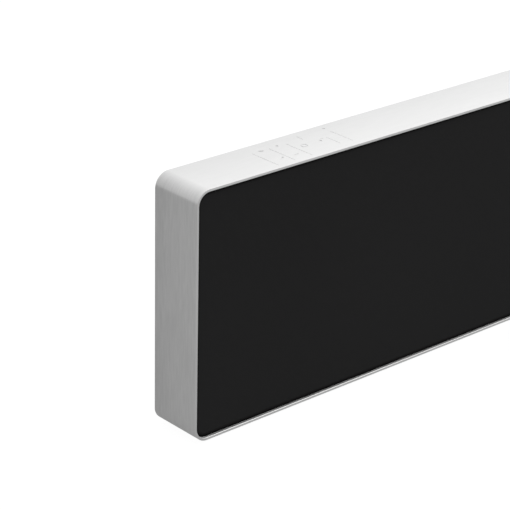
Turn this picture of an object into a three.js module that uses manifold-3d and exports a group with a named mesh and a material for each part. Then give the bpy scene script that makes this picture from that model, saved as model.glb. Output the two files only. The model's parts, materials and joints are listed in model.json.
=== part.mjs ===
// A slim soundbar: a long wireless loudspeaker with a wrap-around aluminium band, a cloth-covered
// front grille, touch marks engraved in the top near its left end, and the drivers, boards,
// sockets and wall hangers that such a speaker holds inside.
//
// Millimetres. +X is right seen from the front, the front faces -Y, and +Z is up. The origin is
// under the middle of the feet. Inside the cabinet group, z = 0 is the middle of the band.

import * as THREE from 'three';
import { mergeVertices } from 'three/addons/utils/BufferGeometryUtils.js';
import Module from 'manifold-3d';

const wasm = await Module();
wasm.setup();

// ---------------------------------------------------------------- driving dimensions

const WIDTH = 1100;
const HEIGHT = 170;
const DEPTH = 40;
const WALL = 1.8;
const CORNER = 10; // outside radius of the band's four corners
const EDGE = 0.2; // softened edge all round the band
const GAP = 0.3; // clearance between neighbouring pieces

const SHADOW_GAP = 0.5; // between the cloth and the band
const GRILLE_SET_BACK = 2;
const CLOTH = 0.8;
const CLOTH_SKIRT = 4.8;
const GRILLE_PLATE = 2.5;
const GRILLE_RIM = 7;
const GRILLE_WINDOWS = 8;
const GRILLE_RIB = 5;

const BAFFLE_FRONT = -8.5;
const BAFFLE_PLATE = 3;
const LEDGE = { reach: 3, plate: 2 };
const COVER = 2;

const FOOT = { width: 90, depth: 24, height: 1.2, radius: 6, x: 400 };
const MAGNET = { radius: 4, plate: 1.3, x: 534, z: 66 };
const BOSS_RADIUS = 6;
const SCREW = { head: 3, headPlate: 0.7, shank: 1.3, length: 17, socket: 1.2, recess: 0.4 };
const SCREW_PLACES = [[-534, -66], [-118, 65], [-534, 66], [534, -66], [118, 65], [534, 66]];

const WOOFER = {
  flange: 52, throat: 46, cone: 37.5, roll: 44, magnet: 32, magnetPlate: 12, former: 13.6,
  coneDepth: 7, floor: 2,
};
const MID = {
  flange: 36, throat: 31, cone: 23.5, roll: 29, magnet: 22, magnetPlate: 11, former: 9.6,
  coneDepth: 5, floor: 2,
};
const WOOFER_PLACES = [-345, -225, 225, 345];
const MID_PLACES = [-455, 455];
const TWEETER = { flange: 22, throat: 17, dome: 12.5, z: 48, depth: 14 };
const BASKET = 1.5;
const PAPER = 0.6;
const DRIVER_SIDES = 14;

// The touch fields: places are from the band's left end and from its front edge. A line is given
// by the places of its front and back ends.
const KEYS = { left: 68.4, pitch: 14.1, last: 134.4, line: 0.45, depth: 0.3 };
const KEY_LINES = { long: [4, 28.5], fourth: [28, 34], fifth: [9, 21.5], last: [7, 28] };
const ROWS = { near: 11, middle: 19.3, far: 28.3, rear: 34.3 };
const MARKS = { triangle: 2.2, slant: 5, dash: 3.4, ring: 2.4, dot: 1, smallDot: 0.8 };
const TOUCH_BOARD = { width: 76, depth: 26, plate: 1.2, room: 12 };
const STATUS_LIGHT = { radius: 0.8, x: 121, y: 21.5 };

const BOARD = { front: 2, plate: 1.6, width: 144, bottom: -66, top: 20, middle: 6 };
const HEAT_SINK = { x: -145, z: -62, fins: 8, fin: 2, pitch: 9, base: 3, tall: 11.5, long: 50 };
const TRAY = { width: 115, height: 35, z: -42, floor: 6.5, wall: 1.5, lip: 5 };
const HANGER = { width: 50, height: 60, plate: 1.5, x: 500, z: 45, margin: 5 };
const KEYHOLE = { entry: 5.5, slotWidth: 5.6, slotHeight: 18, slotRise: 6 };

// ---------------------------------------------------------------- places that follow from them

const FRONT = -DEPTH / 2;
const BACK = DEPTH / 2;
const TOP = HEIGHT / 2;
const LEFT = -WIDTH / 2;
const CLOTH_FRONT = FRONT + GRILLE_SET_BACK;
const GRILLE_FRONT = CLOTH_FRONT + CLOTH + GAP;
const GRILLE_BACK = GRILLE_FRONT + GRILLE_PLATE;
const BAFFLE_BACK = BAFFLE_FRONT + BAFFLE_PLATE;
const COVER_FRONT = BACK - COVER;
const INSIDE_BACK = COVER_FRONT - GAP;
const FLANGE_FRONT = BAFFLE_FRONT - GAP - BASKET;
const RIM_BACK = FLANGE_FRONT - GAP;
const CEILING = TOP - WALL;
const BOARD_BACK = BOARD.front + BOARD.plate;
const TOUCH_X = LEFT + (KEYS.left + KEYS.last) / 2;

// ---------------------------------------------------------------- materials

function material(color, roughness, metalness = 0) {
  return new THREE.MeshStandardMaterial({ color, roughness, metalness });
}

const MATERIALS = {
  aluminium: material('#c9c9c7', 0.38, 1),
  cloth: material('#17171a', 0.95),
  plastic: material('#1c1c1e', 0.6),
  darkPlastic: material('#101011', 0.5),
  steel: material('#8d8f92', 0.4, 1),
  castFrame: material('#2b2c2e', 0.55, 0.4),
  paper: material('#222224', 0.85),
  rubber: material('#141414', 0.8),
  board: material('#1f4a34', 0.5),
  finned: material('#9a9b9d', 0.45, 1),
  silk: material('#2a2a2e', 0.7),
  clear: material('#e8e8e8', 0.2),
};

// ---------------------------------------------------------------- shapes

function roundedRect(width, height, radius) {
  const shape = new THREE.Shape();
  const x = width / 2 - radius;
  const y = height / 2 - radius;
  shape.absarc(x, y, radius, 0, Math.PI / 2);
  shape.absarc(-x, y, radius, Math.PI / 2, Math.PI);
  shape.absarc(-x, -y, radius, Math.PI, Math.PI * 1.5);
  shape.absarc(x, -y, radius, Math.PI * 1.5, Math.PI * 2);
  return shape;
}

// The band's outline, drawn in from its outside by an inset.
function outline(inset) {
  return roundedRect(WIDTH - 2 * inset, HEIGHT - 2 * inset, CORNER - inset);
}

// A shape in the XZ plane, thickened from front to back along Y.
function plate(shape, front, back, options = {}) {
  const settings = { depth: back - front, bevelEnabled: false, curveSegments: 4, ...options };
  const geometry = new THREE.ExtrudeGeometry(shape, settings);
  geometry.rotateX(Math.PI / 2);
  geometry.translate(0, back, 0);
  return geometry;
}

function panel(width, height, radius, front, back, x = 0, z = 0) {
  const geometry = plate(roundedRect(width, height, radius), front, back, { curveSegments: 1 });
  return geometry.translate(x, 0, z);
}

function block(width, depth, height, x, y, z) {
  return new THREE.BoxGeometry(width, depth, height).translate(x, y, z);
}

// A round bar along Y.
function rod(radius, front, back, x = 0, z = 0, sides = 12) {
  const geometry = new THREE.CylinderGeometry(radius, radius, back - front, sides);
  return geometry.translate(x, (front + back) / 2, z);
}

// A round bar along Z.
function pin(radius, bottom, top, x, y, sides = 12) {
  const geometry = new THREE.CylinderGeometry(radius, radius, top - bottom, sides);
  geometry.rotateX(Math.PI / 2);
  return geometry.translate(x, y, (bottom + top) / 2);
}

// A profile of [radius, y] pairs turned about Y. It closes on itself or ends on the axis.
function turned(profile, sides) {
  const points = profile.map(([radius, y]) => new THREE.Vector2(radius, y));
  return new THREE.LatheGeometry(points, sides);
}

function closed(profile) {
  return [...profile, profile[0]];
}

// ---------------------------------------------------------------- cuts and joins

function solid(geometry) {
  const bare = geometry.clone();
  bare.deleteAttribute('normal');
  bare.deleteAttribute('uv');
  const merged = mergeVertices(bare, 1e-4);
  const vertProperties = new Float32Array(merged.attributes.position.array);
  const triVerts = new Uint32Array(merged.index.array);
  return new wasm.Manifold(new wasm.Mesh({ numProp: 3, vertProperties, triVerts }));
}

function geometryOf(manifold) {
  const mesh = manifold.getMesh();
  const geometry = new THREE.BufferGeometry();
  geometry.setAttribute('position', new THREE.BufferAttribute(mesh.vertProperties, 3));
  geometry.setIndex(Array.from(mesh.triVerts));
  geometry.computeVertexNormals();
  return geometry;
}

function join(first, ...others) {
  return geometryOf(others.reduce((sum, other) => sum.add(solid(other)), solid(first)));
}

function cut(first, ...tools) {
  return geometryOf(tools.reduce((rest, tool) => rest.subtract(solid(tool)), solid(first)));
}

// ---------------------------------------------------------------- the assembly

const soundbar = new THREE.Group();
const cabinet = new THREE.Group();
cabinet.position.z = FOOT.height + GAP + HEIGHT / 2;
soundbar.add(cabinet);

function add(name, geometry, surface, x = 0, y = 0, z = 0) {
  const mesh = new THREE.Mesh(geometry, surface);
  mesh.name = name;
  mesh.position.set(x, y, z);
  cabinet.add(mesh);
}

// ---------------------------------------------------------------- aluminium band

// A point on top of the band, from its left end and its front edge.
function onTop(fromLeft, fromFront) {
  return [LEFT + fromLeft, FRONT + fromFront];
}

function engravedLine(fromLeft, front, back) {
  const [x, y] = onTop(fromLeft, (front + back) / 2);
  return block(KEYS.line, back - front, 2 * KEYS.depth, x, y, TOP);
}

function engravedDot(radius, fromLeft, fromFront) {
  const [x, y] = onTop(fromLeft, fromFront);
  return pin(radius, TOP - KEYS.depth, TOP + 1, x, y);
}

function engravedBar(length, turn, fromLeft, fromFront) {
  const [x, y] = onTop(fromLeft, fromFront);
  const bar = new THREE.BoxGeometry(length, KEYS.line, 2 * KEYS.depth);
  bar.rotateZ(turn);
  return bar.translate(x, y, TOP);
}

function engravedRing(radius, fromLeft, fromFront) {
  const outer = engravedDot(radius, fromLeft, fromFront);
  const [x, y] = onTop(fromLeft, fromFront);
  return cut(outer, pin(radius - KEYS.line, TOP - 2, TOP + 2, x, y));
}

function engravedTriangle(radius, fromLeft, fromFront) {
  const [x, y] = onTop(fromLeft, fromFront);
  return pin(radius, TOP - KEYS.depth, TOP + 1, x, y, 3);
}

// Lines part the touch fields; the marks on them are plain shapes.
function touchMarks() {
  const { left, pitch, last } = KEYS;
  const middle = (key) => left + (key + 0.5) * pitch;
  const marks = [0, 1, 2].map((key) => engravedLine(left + key * pitch, ...KEY_LINES.long));
  marks.push(engravedLine(left + 3 * pitch, ...KEY_LINES.fourth));
  marks.push(engravedLine(left + 4 * pitch, ...KEY_LINES.fifth));
  marks.push(engravedLine(last, ...KEY_LINES.last));
  marks.push(engravedTriangle(MARKS.triangle, middle(0), ROWS.far));
  marks.push(engravedBar(MARKS.slant, Math.PI / 5, middle(0) + 2, ROWS.near));
  marks.push(engravedDot(MARKS.dot, middle(1), ROWS.far + 1));
  marks.push(engravedBar(MARKS.dash, 0, middle(1), ROWS.near));
  marks.push(engravedRing(MARKS.ring, middle(2), ROWS.middle));
  marks.push(engravedDot(MARKS.dot, middle(3), ROWS.middle));
  marks.push(engravedDot(MARKS.smallDot, last, ROWS.rear));
  return marks;
}

// A rib inside the band. The front one carries the baffle, and the back one the rear cover.
function ledge(front) {
  const shape = outline(WALL / 2);
  shape.holes.push(outline(WALL + LEDGE.reach));
  return plate(shape, front, front + LEDGE.plate, { curveSegments: 2 });
}

// The space that the touch board needs in the pieces under the top.
function touchBoardRoom() {
  const { width, room } = TOUCH_BOARD;
  return block(width + room, DEPTH / 2, room, TOUCH_X, BAFFLE_BACK, TOP);
}

function band() {
  const shape = outline(0);
  shape.holes.push(outline(WALL));
  const bevel = { bevelThickness: EDGE, bevelSize: EDGE, bevelOffset: -EDGE, bevelSegments: 1 };
  const settings = { ...bevel, bevelEnabled: true, curveSegments: 6 };
  const ring = plate(shape, FRONT + EDGE, BACK - EDGE, settings);
  const frontLedge = cut(ledge(BAFFLE_BACK + GAP), touchBoardRoom());
  const backLedge = ledge(INSIDE_BACK - LEDGE.plate);
  const [lightX, lightY] = onTop(STATUS_LIGHT.x, STATUS_LIGHT.y);
  const lightHole = pin(STATUS_LIGHT.radius + GAP, CEILING - 1, TOP + 1, lightX, lightY);
  return cut(join(ring, frontLedge, backLedge), lightHole, ...touchMarks());
}

add('band', band(), MATERIALS.aluminium);

// ---------------------------------------------------------------- grille

const CLOTH_INSET = WALL + SHADOW_GAP;
const GRILLE_INSET = CLOTH_INSET + CLOTH + GAP;

function grilleCloth() {
  const sheet = plate(outline(CLOTH_INSET), CLOTH_FRONT, CLOTH_FRONT + CLOTH_SKIRT);
  const hollow = plate(outline(CLOTH_INSET + CLOTH), CLOTH_FRONT + CLOTH, BACK);
  return cut(sheet, hollow);
}

function grilleFrame() {
  const shape = outline(GRILLE_INSET);
  const openWidth = WIDTH - 2 * (GRILLE_INSET + GRILLE_RIM);
  const openHeight = HEIGHT - 2 * (GRILLE_INSET + GRILLE_RIM);
  const step = (openWidth + GRILLE_RIB) / GRILLE_WINDOWS;
  const windows = [];
  for (let index = 0; index < GRILLE_WINDOWS; index += 1) {
    const x = (index - (GRILLE_WINDOWS - 1) / 2) * step;
    windows.push(panel(step - GRILLE_RIB, openHeight, 4, GRILLE_FRONT - 1, GRILLE_BACK + 1, x));
  }
  const lattice = cut(plate(shape, GRILLE_FRONT, GRILLE_BACK), ...windows);
  const pads = magnetPlaces().map(([x, z]) => rod(BOSS_RADIUS + 1, GRILLE_FRONT, GRILLE_BACK, x, z));
  const pocketFront = GRILLE_BACK - MAGNET.plate - 2 * GAP;
  const pockets = magnetPlaces().map(([x, z]) => (
    rod(MAGNET.radius + GAP, pocketFront, BACK, x, z)
  ));
  return cut(join(lattice, ...pads), ...pockets);
}

function magnetPlaces() {
  const { x, z } = MAGNET;
  return [[-x, z], [x, z], [-x, -z], [x, -z]];
}

add('grille_cloth', grilleCloth(), MATERIALS.cloth);
add('grille_frame', grilleFrame(), MATERIALS.plastic);
magnetPlaces().forEach(([x, z], index) => {
  const disc = rod(MAGNET.radius, 0, MAGNET.plate);
  const sunk = GRILLE_BACK - GAP - MAGNET.plate;
  add(`grille_magnet_${index + 1}`, disc, MATERIALS.steel, x, sunk, z);
  add(`baffle_magnet_${index + 1}`, disc, MATERIALS.steel, x, GRILLE_BACK + 2 * GAP, z);
});

// ---------------------------------------------------------------- baffle

function driverHoles() {
  const through = [BAFFLE_FRONT - 1, BAFFLE_BACK + 1];
  const woofers = WOOFER_PLACES.map((x) => rod(WOOFER.throat + 1, ...through, x, 0, 18));
  const mids = MID_PLACES.map((x) => rod(MID.throat + 1, ...through, x, 0, 16));
  const tweeter = rod(TWEETER.throat + 1, ...through, 0, TWEETER.z, 12);
  return [...woofers, ...mids, tweeter];
}

function baffle() {
  const board = plate(outline(WALL + GAP), BAFFLE_FRONT, BAFFLE_BACK);
  const magnetBosses = magnetPlaces().map(([x, z]) => (
    rod(BOSS_RADIUS, GRILLE_BACK + GAP, BAFFLE_FRONT + 1, x, z)
  ));
  const screwBosses = SCREW_PLACES.map(([x, z]) => rod(4, BAFFLE_BACK - 1, INSIDE_BACK, x, z, 8));
  const pockets = magnetPlaces().map(([x, z]) => (
    rod(MAGNET.radius + GAP, FRONT, GRILLE_BACK + 3 * GAP + MAGNET.plate, x, z)
  ));
  const pilots = SCREW_PLACES.map(([x, z]) => (
    rod(SCREW.shank + GAP, BACK - SCREW.length - 2, BACK, x, z, 8)
  ));
  const whole = join(board, ...magnetBosses, ...screwBosses);
  return cut(whole, ...driverHoles(), ...pockets, ...pilots, touchBoardRoom());
}

add('baffle', baffle(), MATERIALS.plastic);

// ---------------------------------------------------------------- drivers

// The cast frame that holds a driver to the baffle: a flange, a tapering wall and an open floor.
function basket(driver) {
  const { flange, throat, floor, former } = driver;
  const neck = throat - 6;
  return turned(closed([
    [former + 4, floor],
    [neck, floor],
    [throat - BASKET, BAFFLE_FRONT],
    [throat - BASKET, FLANGE_FRONT],
    [flange, FLANGE_FRONT],
    [flange, FLANGE_FRONT + BASKET],
    [throat, FLANGE_FRONT + BASKET],
    [throat, BAFFLE_FRONT + 1],
    [neck + BASKET, floor + BASKET],
    [former + 4, floor + BASKET],
  ]), DRIVER_SIDES);
}

// The rubber roll between a cone and its flange.
function surround(driver) {
  const { cone, roll, flange } = driver;
  const inner = cone + 0.6;
  const middle = (inner + roll) / 2;
  const radius = (roll - inner) / 2;
  const front = [];
  for (let step = 0; step <= 3; step += 1) {
    const angle = Math.PI * (1 - step / 3);
    front.push([middle + radius * Math.cos(angle), RIM_BACK - PAPER - radius * Math.sin(angle) * 0.6]);
  }
  front.push([flange - 2, RIM_BACK - PAPER]);
  const back = front.map(([r, y]) => [r, y + PAPER]).reverse();
  return turned(closed([...front, ...back]), DRIVER_SIDES);
}

// A shallow cone with a domed dust cap in front and the voice coil's former behind.
function cone(driver) {
  const { cone: rim, former, coneDepth, floor } = driver;
  const rimFront = RIM_BACK - PAPER;
  const neckFront = rimFront + coneDepth;
  const cap = [];
  for (let step = 0; step <= 2; step += 1) {
    const angle = (Math.PI / 2) * (step / 2);
    cap.push([former * Math.sin(angle), neckFront - 4 * Math.cos(angle)]);
  }
  const shell = cap.slice(0, 2).map(([r, y]) => [r, y + PAPER]).reverse();
  return turned([
    ...cap,
    [rim, rimFront],
    [rim, rimFront + PAPER],
    [former, neckFront + 2 * PAPER],
    [former, floor - 1],
    [former - PAPER, floor - 1],
    [former - PAPER, neckFront + PAPER],
    ...shell,
  ], DRIVER_SIDES);
}

function addDriver(name, driver, index, x) {
  const magnetFront = driver.floor + BASKET + GAP;
  const magnet = rod(driver.magnet, magnetFront, magnetFront + driver.magnetPlate, 0, 0, 16);
  add(`${name}_basket_${index + 1}`, basket(driver), MATERIALS.castFrame, x);
  add(`${name}_magnet_${index + 1}`, magnet, MATERIALS.steel, x);
  add(`${name}_surround_${index + 1}`, surround(driver), MATERIALS.rubber, x);
  add(`${name}_cone_${index + 1}`, cone(driver), MATERIALS.paper, x);
}

WOOFER_PLACES.forEach((x, index) => addDriver('woofer', WOOFER, index, x));
MID_PLACES.forEach((x, index) => addDriver('mid', MID, index, x));

// The plate and pot of the tweeter are one turned piece with a hollow for the dome.
function tweeterPlate() {
  const { flange, throat, dome, depth } = TWEETER;
  const end = FLANGE_FRONT + depth;
  return turned([
    [0, end - 4],
    [dome + 1.5, end - 4],
    [dome + 1.5, FLANGE_FRONT + 1.5],
    [dome + 3, FLANGE_FRONT],
    [flange, FLANGE_FRONT],
    [flange, FLANGE_FRONT + BASKET],
    [throat, FLANGE_FRONT + BASKET],
    [throat, end],
    [0, end],
  ], DRIVER_SIDES);
}

function tweeterDome() {
  const { dome } = TWEETER;
  const base = FLANGE_FRONT + 3;
  const front = [];
  for (let step = 0; step <= 3; step += 1) {
    const angle = (Math.PI / 2) * (step / 3);
    front.push([dome * Math.sin(angle), base - 4.5 * Math.cos(angle)]);
  }
  const back = front.slice(0, 3).map(([r, y]) => [r, y + PAPER]).reverse();
  const collar = [[dome, base + 3], [dome - PAPER, base + 3], [dome - PAPER, base]];
  return turned([...front, ...collar, ...back], DRIVER_SIDES);
}

add('tweeter_plate', tweeterPlate(), MATERIALS.castFrame, 0, 0, TWEETER.z);
add('tweeter_dome', tweeterDome(), MATERIALS.silk, 0, 0, TWEETER.z);

// ---------------------------------------------------------------- rear cover, screws and hangers

function ventSlots(centre) {
  const slots = [];
  for (let index = -2; index <= 2; index += 1) {
    slots.push(panel(3.5, 26, 1.6, COVER_FRONT - 1, BACK + 1, centre + index * 10, 35));
  }
  return slots;
}

function rearCover() {
  const sheet = plate(outline(WALL + GAP), COVER_FRONT, BACK);
  const bay = panel(TRAY.width, TRAY.height, 3, COVER_FRONT - 1, BACK + 1, 0, TRAY.z);
  const sink = BACK - SCREW.headPlate - 2 * GAP;
  const seats = SCREW_PLACES.map(([x, z]) => rod(SCREW.head + GAP, sink, BACK, x, z));
  const holes = SCREW_PLACES.map(([x, z]) => rod(SCREW.shank + GAP, 0, BACK, x, z, 8));
  const windows = [-HANGER.x, HANGER.x].map((x) => {
    const width = HANGER.width - 2 * HANGER.margin;
    const height = HANGER.height - 2 * HANGER.margin;
    return panel(width, height, 4, COVER_FRONT - 1, BACK + 1, x, HANGER.z);
  });
  return cut(sheet, bay, ...seats, ...holes, ...windows, ...ventSlots(-90), ...ventSlots(90));
}

// A screw along Y with its head at the back and a hexagonal socket in it.
function screw() {
  const { head, headPlate, shank, length, socket, recess } = SCREW;
  const body = join(rod(head, -headPlate, 0), rod(shank, -length, -headPlate / 2, 0, 0, 8));
  return cut(body, rod(socket, -recess, 1, 0, 0, 6));
}

function hanger() {
  const { width, height, plate: thick, margin } = HANGER;
  const sheet = panel(width, height, 3, -thick, 0);
  const { entry, slotWidth, slotHeight, slotRise } = KEYHOLE;
  const hole = rod(entry, -thick - 1, 1, 0, -margin);
  const slot = panel(slotWidth, slotHeight, slotWidth / 2 - 0.1, -thick - 1, 1, 0, slotRise);
  return cut(sheet, hole, slot);
}

add('rear_cover', rearCover(), MATERIALS.plastic);
SCREW_PLACES.forEach(([x, z], index) => {
  add(`rear_screw_${index + 1}`, screw(), MATERIALS.steel, x, BACK - GAP, z);
});
add('hanger_left', hanger(), MATERIALS.steel, -HANGER.x, INSIDE_BACK, HANGER.z);
add('hanger_right', hanger(), MATERIALS.steel, HANGER.x, INSIDE_BACK, HANGER.z);

// ---------------------------------------------------------------- boards and what is on them

function circuitBoard(side) {
  const { front, width, bottom, top, middle } = BOARD;
  const x = side * (middle + width / 2);
  return panel(width, top - bottom, 2, front, BOARD_BACK, x, (top + bottom) / 2);
}

function mainBoard() {
  const chips = [[-30, 4, 18], [-58, 6, 14], [-90, 12, 9], [-120, 10, 12]];
  const parts = chips.map(([x, z, size]) => block(size, 2, size, x, BOARD_BACK + 0.9, z));
  return join(circuitBoard(-1), ...parts);
}

function powerBoard() {
  const transformer = block(34, 11.5, 30, 95, BOARD_BACK + 5.5, -42);
  const capacitors = [-2, -22].map((z) => rod(8, BOARD_BACK - 0.5, 15, 130, z));
  const coil = block(16, 9, 16, 85, BOARD_BACK + 4, 4);
  return join(circuitBoard(1), transformer, ...capacitors, coil);
}

// A base plate with upright fins, drawn as one comb seen from above.
function heatSink() {
  const { fins, fin, pitch, base, tall, long } = HEAT_SINK;
  const shape = new THREE.Shape();
  shape.moveTo(0, 0);
  shape.lineTo((fins - 1) * pitch + fin, 0);
  for (let index = fins - 1; index >= 0; index -= 1) {
    const x = index * pitch;
    shape.lineTo(x + fin, tall);
    shape.lineTo(x, tall);
    if (index > 0) {
      shape.lineTo(x, base);
      shape.lineTo(x - pitch + fin, base);
    }
  }
  return new THREE.ExtrudeGeometry(shape, { depth: long, bevelEnabled: false });
}

add('main_board', mainBoard(), MATERIALS.board);
add('power_board', powerBoard(), MATERIALS.board);
add('heat_sink', heatSink(), MATERIALS.finned, HEAT_SINK.x, BOARD_BACK + GAP, HEAT_SINK.z);

// ---------------------------------------------------------------- socket bay

const VIDEO = { width: 15.5, height: 6.5, x: -38, end: 11 };
const INLET = { width: 22, height: 12, x: 36, end: 13 };
const SETUP = { radius: 2.5, x: -14, front: 5, end: 11 };

function socketTray() {
  const { width, height, z, floor, wall, lip } = TRAY;
  const rim = panel(width + 2 * lip, height + 2 * lip, 5, INSIDE_BACK - wall, INSIDE_BACK, 0, z);
  const box = panel(width + 2 * wall, height + 2 * wall, 4, floor, INSIDE_BACK - wall / 2, 0, z);
  const hollow = panel(width, height, 3, floor + wall, BACK, 0, z);
  const through = [floor - 1, floor + wall + 1];
  const video = panel(VIDEO.width + 2 * GAP, VIDEO.height + 2 * GAP, 0.8, ...through, VIDEO.x, z);
  const inlet = panel(INLET.width + 2 * GAP, INLET.height + 2 * GAP, 6, ...through, INLET.x, z);
  const button = rod(SETUP.radius + GAP, ...through, SETUP.x, z);
  return cut(join(rim, box), hollow, video, inlet, button);
}

function videoSocket() {
  const { width, height, x, end } = VIDEO;
  const shell = panel(width, height, 0.6, BOARD_BACK + GAP, end, x, TRAY.z);
  const mouth = panel(width - 1.4, height - 1.4, 0.4, BOARD_BACK + 1.5, BACK, x, TRAY.z);
  const tongue = block(width - 4, 6, 1.2, x, BOARD_BACK + 4, TRAY.z);
  return join(cut(shell, mouth), tongue);
}

function powerInlet() {
  const { width, height, x, end } = INLET;
  const shell = panel(width, height, 5.9, BOARD_BACK + GAP, end, x, TRAY.z);
  const mouth = panel(width - 3, height - 3, 4.4, BOARD_BACK + 2, BACK, x, TRAY.z);
  const prongs = [-4.3, 4.3].map((offset) => rod(1.1, BOARD_BACK + 1, end - 2, x + offset, TRAY.z, 8));
  return join(cut(shell, mouth), ...prongs);
}

add('socket_tray', socketTray(), MATERIALS.darkPlastic);
add('video_socket', videoSocket(), MATERIALS.steel);
add('power_inlet', powerInlet(), MATERIALS.darkPlastic);
add('setup_button', rod(SETUP.radius, SETUP.front, SETUP.end), MATERIALS.plastic, SETUP.x, 0, TRAY.z);

// ---------------------------------------------------------------- touch board and status light

const TOUCH_FRONT = CLOTH_FRONT + CLOTH_SKIRT + 4 * GAP;
const TOUCH_TOP = CEILING - GAP;

function touchBoard() {
  const { width, depth, plate: thick } = TOUCH_BOARD;
  return block(width, depth, thick, TOUCH_X, TOUCH_FRONT + depth / 2, TOUCH_TOP - thick / 2);
}

add('touch_board', touchBoard(), MATERIALS.board);
{
  const [x, y] = onTop(STATUS_LIGHT.x, STATUS_LIGHT.y);
  const pipe = pin(STATUS_LIGHT.radius, CEILING, TOP - 0.05, 0, 0);
  add('status_light', pipe, MATERIALS.clear, x, y);
}

// ---------------------------------------------------------------- cables

function along(points, shape, steps) {
  const path = new THREE.CatmullRomCurve3(points.map((point) => new THREE.Vector3(...point)));
  return new THREE.ExtrudeGeometry(shape, { extrudePath: path, steps, curveSegments: 3 });
}

// A flat ribbon from the touch board, over the drivers, down to the main board.
function touchCable() {
  const ribbon = new THREE.Shape();
  ribbon.moveTo(-4, -0.2);
  ribbon.lineTo(4, -0.2);
  ribbon.lineTo(4, 0.2);
  ribbon.lineTo(-4, 0.2);
  const start = [TOUCH_X + TOUCH_BOARD.width / 2 - 4, 9, TOUCH_TOP - TOUCH_BOARD.plate - 3 * GAP];
  return along([start, [-395, 9, 74], [-280, 9, 72], [-165, 9, 72], [-138, 9, 50], [-137, 9, 5]], ribbon, 28);
}

// The loom that feeds the drivers lies along the cabinet's floor.
function speakerCable() {
  const round = new THREE.Shape();
  round.absarc(0, 0, 1.6, 0, Math.PI * 2);
  const low = -TOP + 12;
  const points = [[-470, 9, low + 14], [-450, 9, low + 2]];
  for (let x = -380; x <= 380; x += 95) {
    points.push([x, 9 + 2 * Math.sin(x / 60), low + Math.cos(x / 45)]);
  }
  points.push([450, 9, low + 2], [470, 9, low + 14]);
  return along(points, round, 40);
}

add('touch_cable', touchCable(), MATERIALS.darkPlastic);
add('speaker_cable', speakerCable(), MATERIALS.rubber);

// ---------------------------------------------------------------- feet

function foot() {
  const { width, depth, height, radius } = FOOT;
  const pad = roundedRect(width, depth, radius);
  return new THREE.ExtrudeGeometry(pad, { depth: height, bevelEnabled: false, curveSegments: 4 });
}

const FOOT_BOTTOM = -TOP - GAP - FOOT.height;
add('foot_left', foot(), MATERIALS.rubber, -FOOT.x, 0, FOOT_BOTTOM);
add('foot_right', foot(), MATERIALS.rubber, FOOT.x, 0, FOOT_BOTTOM);

export default soundbar;
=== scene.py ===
"""A slim soundbar with a wrap-around aluminium band and a black cloth grille.

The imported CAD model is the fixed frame. This script gives every CAD node a material, builds the
fine surfaces that stand for the coarse ones, and sets up the stage, the light and the camera.
Lengths are in metres, in the row frame: +X right, the front faces -Y, +Z up.
"""

import json
import math

import bmesh
import bpy
from mathutils import Matrix, Vector


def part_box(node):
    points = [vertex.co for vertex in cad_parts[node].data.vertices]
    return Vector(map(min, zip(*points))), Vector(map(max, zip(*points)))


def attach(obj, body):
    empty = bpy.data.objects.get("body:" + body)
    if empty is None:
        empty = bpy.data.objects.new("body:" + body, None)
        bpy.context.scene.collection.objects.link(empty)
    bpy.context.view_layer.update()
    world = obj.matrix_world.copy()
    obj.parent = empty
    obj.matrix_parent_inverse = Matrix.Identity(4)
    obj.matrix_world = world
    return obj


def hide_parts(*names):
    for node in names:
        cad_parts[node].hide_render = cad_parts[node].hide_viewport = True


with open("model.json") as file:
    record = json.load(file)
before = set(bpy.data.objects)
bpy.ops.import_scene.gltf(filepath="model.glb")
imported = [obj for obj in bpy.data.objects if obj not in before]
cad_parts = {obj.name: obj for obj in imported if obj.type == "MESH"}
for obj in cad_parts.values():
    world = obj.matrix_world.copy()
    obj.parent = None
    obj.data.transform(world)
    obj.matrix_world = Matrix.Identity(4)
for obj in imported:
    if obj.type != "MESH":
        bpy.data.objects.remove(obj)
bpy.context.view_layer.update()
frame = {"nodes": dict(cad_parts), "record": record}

MM = 0.001
BAND_WALL = 1.8 * MM
BAND_CORNER = 10.0 * MM
OUTER_EDGE = 0.08 * MM
INNER_EDGE = 0.40 * MM
RIB_EDGE = 0.2 * MM
LEDGE_REACH = 3.0 * MM
LEDGE_PLATE = 2.0 * MM
CLOTH_THICK = 0.8 * MM
CLOTH_ROLL = 1.6 * MM
CLOTH_DROP = 0.5 * MM
GAP = 0.3 * MM
CAD_EDGE = 0.18 * MM

BAND_LOW, BAND_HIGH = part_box("band")
BAFFLE_BACK = BAND_LOW.y + 14.5 * MM


# ---------------------------------------------------------------------------- mesh building


def new_piece(name, mesh, body, slot, replaces=(), place=(0, 0, 0)):
    """Puts a finished mesh in the scene as a piece that rides on a CAD body."""
    piece = bpy.data.objects.new(name, mesh)
    bpy.context.scene.collection.objects.link(piece)
    piece.location = place
    mesh.materials.clear()
    mesh.materials.append(MATERIALS[slot])
    bpy.context.view_layer.update()
    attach(piece, body)
    if replaces:
        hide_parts(*replaces)
    return piece


def shade(mesh, angle=35.0):
    """Smooth shading that keeps creases sharper than the angle, in degrees."""
    mesh.shade_smooth()
    mesh.set_sharp_from_angle(angle=math.radians(angle))
    return mesh


def weigh_normals(piece):
    """Keeps large flat faces flat where they meet fine rounded edges."""
    modifier = piece.modifiers.new("weighted_normal", "WEIGHTED_NORMAL")
    modifier.keep_sharp = True
    modifier.weight = 60


def mesh_from(bm, name, angle=35.0):
    bmesh.ops.remove_doubles(bm, verts=bm.verts, dist=1e-7)
    bmesh.ops.recalc_face_normals(bm, faces=bm.faces)
    mesh = bpy.data.meshes.new(name)
    bm.to_mesh(mesh)
    bm.free()
    return shade(mesh, angle)


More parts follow.
